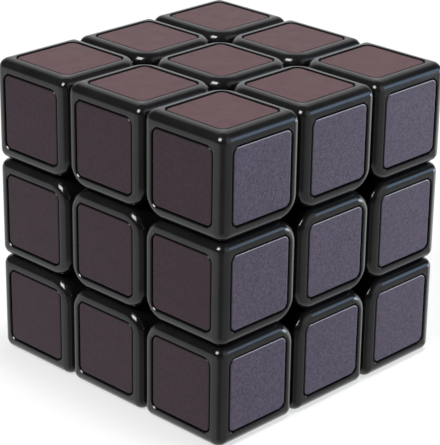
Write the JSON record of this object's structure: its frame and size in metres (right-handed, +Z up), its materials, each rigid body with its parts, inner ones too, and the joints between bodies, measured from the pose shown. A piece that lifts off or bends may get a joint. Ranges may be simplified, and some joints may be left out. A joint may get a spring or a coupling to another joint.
{
  "type": "twisting puzzle cube",
  "caption": "Cube puzzle of equal rounded black blocks with inset satin tiles; each face layer turns on a spring-loaded screw held by a hidden core.",
  "frame": {"origin": "centre of the core, which is the middle of the cube", "axes": "+Z up through the up face, -Y through the front face, +X through the right face"},
  "size_m": [0.057, 0.057, 0.057],
  "materials": {
    "block_plastic": "glossy",
    "tile": "satin",
    "core_plastic": "matte",
    "screw_steel": "zinc plated",
    "spring_steel": "drawn wire"
  },
  "bodies": {
    "core": {"core": "core_plastic", "screws": "screw_steel"},
    "spring_up": {"spring_up": "spring_steel"},
    "centre_up": {"centre_up": "block_plastic", "tile_centre_up": "tile"},
    "spring_down": {"spring_down": "spring_steel"},
    "centre_down": {"centre_down": "block_plastic", "tile_centre_down": "tile"},
    "spring_front": {"spring_front": "spring_steel"},
    "centre_front": {"centre_front": "block_plastic", "tile_centre_front": "tile"},
    "spring_back": {"spring_back": "spring_steel"},
    "centre_back": {"centre_back": "block_plastic", "tile_centre_back": "tile"},
    "spring_right": {"spring_right": "spring_steel"},
    "centre_right": {"centre_right": "block_plastic", "tile_centre_right": "tile"},
    "spring_left": {"spring_left": "spring_steel"},
    "centre_left": {"centre_left": "block_plastic", "tile_centre_left": "tile"},
    "edge_up_front": {"edge_up_front": "block_plastic", "tiles_edge_up_front": "tile"},
    "edge_up_back": {"edge_up_back": "block_plastic", "tiles_edge_up_back": "tile"},
    "edge_up_right": {"edge_up_right": "block_plastic", "tiles_edge_up_right": "tile"},
    "edge_up_left": {"edge_up_left": "block_plastic", "tiles_edge_up_left": "tile"},
    "edge_down_front": {"edge_down_front": "block_plastic", "tiles_edge_down_front": "tile"},
    "edge_down_back": {"edge_down_back": "block_plastic", "tiles_edge_down_back": "tile"},
    "edge_down_right": {"edge_down_right": "block_plastic", "tiles_edge_down_right": "tile"},
    "edge_down_left": {"edge_down_left": "block_plastic", "tiles_edge_down_left": "tile"},
    "edge_front_right": {"edge_front_right": "block_plastic", "tiles_edge_front_right": "tile"},
    "edge_front_left": {"edge_front_left": "block_plastic", "tiles_edge_front_left": "tile"},
    "edge_back_right": {"edge_back_right": "block_plastic", "tiles_edge_back_right": "tile"},
    "edge_back_left": {"edge_back_left": "block_plastic", "tiles_edge_back_left": "tile"},
    "corner_up_front_right": {"corner_up_front_right": "block_plastic", "tiles_corner_up_front_right": "tile"},
    "corner_up_front_left": {"corner_up_front_left": "block_plastic", "tiles_corner_up_front_left": "tile"},
    "corner_up_back_right": {"corner_up_back_right": "block_plastic", "tiles_corner_up_back_right": "tile"},
    "corner_up_back_left": {"corner_up_back_left": "block_plastic", "tiles_corner_up_back_left": "tile"},
    "corner_down_front_right": {"corner_down_front_right": "block_plastic", "tiles_corner_down_front_right": "tile"},
    "corner_down_front_left": {"corner_down_front_left": "block_plastic", "tiles_corner_down_front_left": "tile"},
    "corner_down_back_right": {"corner_down_back_right": "block_plastic", "tiles_corner_down_back_right": "tile"},
    "corner_down_back_left": {"corner_down_back_left": "block_plastic", "tiles_corner_down_back_left": "tile"}
  },
  "joints": [
    {"name": "turn_up", "type": "hinge", "parent": "core", "child": "spring_up", "pos_m": [0, 0, 0], "axis": [0, 0, 1], "continuous": true},
    {"name": "lift_up", "type": "slide", "parent": "spring_up", "child": "centre_up", "axis": [0, 0, 1], "range_m": [0, 0.0005], "stiffness_N_per_m": 800, "springref_m": -0.004, "deforming": ["spring_up"]},
    {"name": "turn_down", "type": "hinge", "parent": "core", "child": "spring_down", "pos_m": [0, 0, 0], "axis": [0, 0, -1], "continuous": true},
    {"name": "lift_down", "type": "slide", "parent": "spring_down", "child": "centre_down", "axis": [0, 0, -1], "range_m": [0, 0.0005], "stiffness_N_per_m": 800, "springref_m": -0.004, "deforming": ["spring_down"]},
    {"name": "turn_front", "type": "hinge", "parent": "core", "child": "spring_front", "pos_m": [0, 0, 0], "axis": [0, -1, 0], "continuous": true},
    {"name": "lift_front", "type": "slide", "parent": "spring_front", "child": "centre_front", "axis": [0, -1, 0], "range_m": [0, 0.0005], "stiffness_N_per_m": 800, "springref_m": -0.004, "deforming": ["spring_front"]},
    {"name": "turn_back", "type": "hinge", "parent": "core", "child": "spring_back", "pos_m": [0, 0, 0], "axis": [0, 1, 0], "continuous": true},
    {"name": "lift_back", "type": "slide", "parent": "spring_back", "child": "centre_back", "axis": [0, 1, 0], "range_m": [0, 0.0005], "stiffness_N_per_m": 800, "springref_m": -0.004, "deforming": ["spring_back"]},
    {"name": "turn_right", "type": "hinge", "parent": "core", "child": "spring_right", "pos_m": [0, 0, 0], "axis": [1, 0, 0], "continuous": true},
    {"name": "lift_right", "type": "slide", "parent": "spring_right", "child": "centre_right", "axis": [1, 0, 0], "range_m": [0, 0.0005], "stiffness_N_per_m": 800, "springref_m": -0.004, "deforming": ["spring_right"]},
    {"name": "turn_left", "type": "hinge", "parent": "core", "child": "spring_left", "pos_m": [0, 0, 0], "axis": [-1, 0, 0], "continuous": true},
    {"name": "lift_left", "type": "slide", "parent": "spring_left", "child": "centre_left", "axis": [-1, 0, 0], "range_m": [0, 0.0005], "stiffness_N_per_m": 800, "springref_m": -0.004, "deforming": ["spring_left"]},
    {"name": "edge_up_front_with_front", "type": "hinge", "parent": "spring_up", "child": "edge_up_front", "pos_m": [0, 0, 0], "axis": [0, -1, 0], "continuous": true},
    {"name": "edge_up_back_with_back", "type": "hinge", "parent": "spring_up", "child": "edge_up_back", "pos_m": [0, 0, 0], "axis": [0, 1, 0], "continuous": true},
    {"name": "edge_up_right_with_right", "type": "hinge", "parent": "spring_up", "child": "edge_up_right", "pos_m": [0, 0, 0], "axis": [1, 0, 0], "continuous": true},
    {"name": "edge_up_left_with_left", "type": "hinge", "parent": "spring_up", "child": "edge_up_left", "pos_m": [0, 0, 0], "axis": [-1, 0, 0], "continuous": true},
    {"name": "edge_down_front_with_down", "type": "hinge", "parent": "spring_front", "child": "edge_down_front", "pos_m": [0, 0, 0], "axis": [0, 0, -1], "continuous": true},
    {"name": "edge_down_back_with_down", "type": "hinge", "parent": "spring_back", "child": "edge_down_back", "pos_m": [0, 0, 0], "axis": [0, 0, -1], "continuous": true},
    {"name": "edge_down_right_with_down", "type": "hinge", "parent": "spring_right", "child": "edge_down_right", "pos_m": [0, 0, 0], "axis": [0, 0, -1], "continuous": true},
    {"name": "edge_down_left_with_down", "type": "hinge", "parent": "spring_left", "child": "edge_down_left", "pos_m": [0, 0, 0], "axis": [0, 0, -1], "continuous": true},
    {"name": "edge_front_right_with_right", "type": "hinge", "parent": "spring_front", "child": "edge_front_right", "pos_m": [0, 0, 0], "axis": [1, 0, 0], "continuous": true},
    {"name": "edge_front_left_with_front", "type": "hinge", "parent": "spring_left", "child": "edge_front_left", "pos_m": [0, 0, 0], "axis": [0, -1, 0], "continuous": true},
    {"name": "edge_back_right_with_back", "type": "hinge", "parent": "spring_right", "child": "edge_back_right", "pos_m": [0, 0, 0], "axis": [0, 1, 0], "continuous": true},
    {"name": "edge_back_left_with_left", "type": "hinge", "parent": "spring_back", "child": "edge_back_left", "pos_m": [0, 0, 0], "axis": [-1, 0, 0], "continuous": true},
    {"name": "corner_up_front_right_with_right", "type": "hinge", "parent": "edge_up_front", "child": "corner_up_front_right", "pos_m": [0, 0, 0], "axis": [1, 0, 0], "continuous": true},
    {"name": "corner_up_front_left_with_left", "type": "hinge", "parent": "edge_up_front", "child": "corner_up_front_left", "pos_m": [0, 0, 0], "axis": [-1, 0, 0], "continuous": true},
    {"name": "corner_up_back_right_with_right", "type": "hinge", "parent": "edge_up_back", "child": "corner_up_back_right", "pos_m": [0, 0, 0], "axis": [1, 0, 0], "continuous": true},
    {"name": "corner_up_back_left_with_left", "type": "hinge", "parent": "edge_up_back", "child": "corner_up_back_left", "pos_m": [0, 0, 0], "axis": [-1, 0, 0], "continuous": true},
    {"name": "corner_down_front_right_with_right", "type": "hinge", "parent": "edge_down_front", "child": "corner_down_front_right", "pos_m": [0, 0, 0], "axis": [1, 0, 0], "continuous": true},
    {"name": "corner_down_front_left_with_left", "type": "hinge", "parent": "edge_down_front", "child": "corner_down_front_left", "pos_m": [0, 0, 0], "axis": [-1, 0, 0], "continuous": true},
    {"name": "corner_down_back_right_with_right", "type": "hinge", "parent": "edge_down_back", "child": "corner_down_back_right", "pos_m": [0, 0, 0], "axis": [1, 0, 0], "continuous": true},
    {"name": "corner_down_back_left_with_left", "type": "hinge", "parent": "edge_down_back", "child": "corner_down_back_left", "pos_m": [0, 0, 0], "axis": [-1, 0, 0], "continuous": true}
  ],
  "couplings": [
    {"joint": "edge_up_front_with_front", "follows": "turn_front", "ratio": 1},
    {"joint": "edge_up_back_with_back", "follows": "turn_back", "ratio": 1},
    {"joint": "edge_up_right_with_right", "follows": "turn_right", "ratio": 1},
    {"joint": "edge_up_left_with_left", "follows": "turn_left", "ratio": 1},
    {"joint": "edge_down_front_with_down", "follows": "turn_down", "ratio": 1},
    {"joint": "edge_down_back_with_down", "follows": "turn_down", "ratio": 1},
    {"joint": "edge_down_right_with_down", "follows": "turn_down", "ratio": 1},
    {"joint": "edge_down_left_with_down", "follows": "turn_down", "ratio": 1},
    {"joint": "edge_front_right_with_right", "follows": "turn_right", "ratio": 1},
    {"joint": "edge_front_left_with_front", "follows": "turn_front", "ratio": 1},
    {"joint": "edge_back_right_with_back", "follows": "turn_back", "ratio": 1},
    {"joint": "edge_back_left_with_left", "follows": "turn_left", "ratio": 1},
    {"joint": "corner_up_front_right_with_right", "follows": "turn_right", "ratio": 1},
    {"joint": "corner_up_front_left_with_left", "follows": "turn_left", "ratio": 1},
    {"joint": "corner_up_back_right_with_right", "follows": "turn_right", "ratio": 1},
    {"joint": "corner_up_back_left_with_left", "follows": "turn_left", "ratio": 1},
    {"joint": "corner_down_front_right_with_right", "follows": "turn_right", "ratio": 1},
    {"joint": "corner_down_front_left_with_left", "follows": "turn_left", "ratio": 1},
    {"joint": "corner_down_back_right_with_right", "follows": "turn_right", "ratio": 1},
    {"joint": "corner_down_back_left_with_left", "follows": "turn_left", "ratio": 1}
  ]
}
